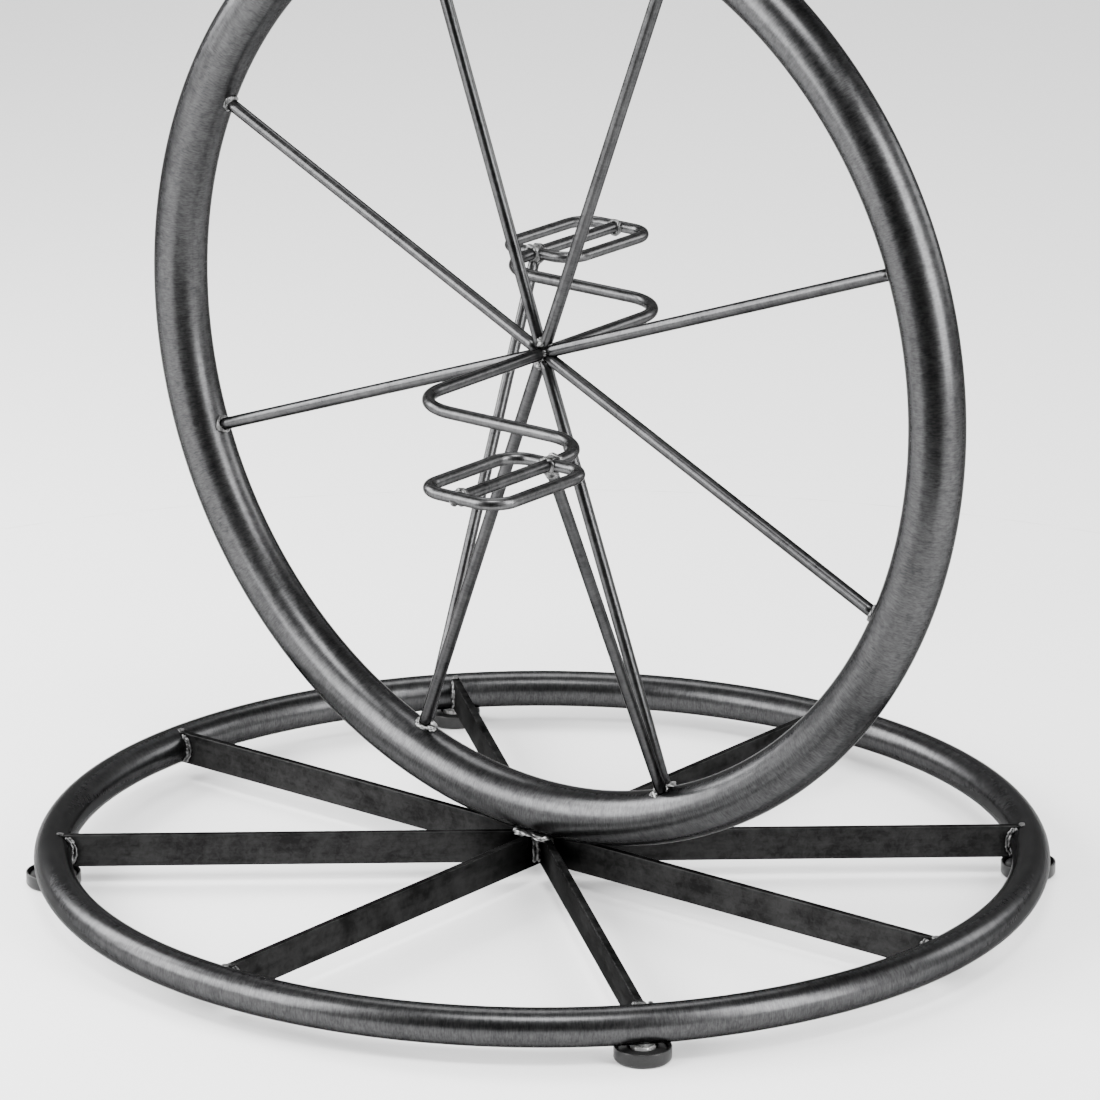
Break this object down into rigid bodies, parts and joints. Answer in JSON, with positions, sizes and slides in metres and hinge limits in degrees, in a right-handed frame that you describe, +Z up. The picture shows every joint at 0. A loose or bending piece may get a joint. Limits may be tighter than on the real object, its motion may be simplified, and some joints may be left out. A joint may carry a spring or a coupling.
{
  "type": "unicycle-style pedestal base",
  "caption": "Steel pedestal base shaped like a unicycle: an upright spoked wheel with a bent crank rod and wire pedals, welded on a spoked foot ring with levelling feet.",
  "frame": {"origin": "on the floor, under the middle of the foot ring", "axes": "+Z up; +X in the wheel's plane, from the hub towards the side of the front pedal; +Y across the wheel along the crank's axle, away from the front pedal"},
  "size_m": [0.475, 0.475, 0.4898],
  "materials": {
    "dark_tube": "blackened brushed tube under clear lacquer, semi-gloss",
    "dark_rod": "blackened drawn rod under clear lacquer, semi-gloss",
    "dark_flat": "dark mill-scale flat bar under clear lacquer, satin",
    "weld_metal": "bare weld bead under clear lacquer, semi-gloss",
    "zinc_steel": "bright zinc plate",
    "black_plastic": "satin black moulded plastic"
  },
  "bodies": {
    "frame": {"base_bar_back": "dark_flat", "base_bar_front": "dark_flat", "base_bar_left": "dark_flat", "base_bar_mid_left": "dark_flat", "base_bar_mid_right": "dark_flat", "base_bar_right": "dark_flat", "base_bar_wheel_back": "dark_flat", "base_bar_wheel_front": "dark_flat", "base_ring": "dark_tube", "base_weld_core": "weld_metal", "crank_rod": "dark_rod", "foot_bush_back": "zinc_steel", "foot_bush_front": "zinc_steel", "foot_bush_left": "zinc_steel", "foot_bush_right": "zinc_steel", "hub_weld_boss": "weld_metal", "pedal_bar_front": "dark_rod", "pedal_bar_rear": "dark_rod", "pedal_loop_front": "dark_rod", "pedal_loop_rear": "dark_rod", "strut_front": "dark_rod", "strut_rear": "dark_rod", "wheel_rim": "dark_tube", "wheel_spoke_1": "dark_rod", "wheel_spoke_2": "dark_rod", "wheel_spoke_3": "dark_rod", "wheel_spoke_4": "dark_rod", "wheel_spoke_5": "dark_rod", "wheel_spoke_6": "dark_rod", "wheel_spoke_7": "dark_rod", "wheel_spoke_8": "dark_rod"},
    "foot_front": {"foot_pad_front": "black_plastic", "foot_stem_front": "zinc_steel"},
    "foot_right": {"foot_pad_right": "black_plastic", "foot_stem_right": "zinc_steel"},
    "foot_back": {"foot_pad_back": "black_plastic", "foot_stem_back": "zinc_steel"},
    "foot_left": {"foot_pad_left": "black_plastic", "foot_stem_left": "zinc_steel"}
  },
  "joints": [
    {"name": "foot_front_screw", "type": "slide", "parent": "frame", "child": "foot_front", "axis": [0, 0, -1], "range_m": [0, 0.007]},
    {"name": "foot_right_screw", "type": "slide", "parent": "frame", "child": "foot_right", "axis": [0, 0, -1], "range_m": [0, 0.007]},
    {"name": "foot_back_screw", "type": "slide", "parent": "frame", "child": "foot_back", "axis": [0, 0, -1], "range_m": [0, 0.007]},
    {"name": "foot_left_screw", "type": "slide", "parent": "frame", "child": "foot_left", "axis": [0, 0, -1], "range_m": [0, 0.007]}
  ]
}
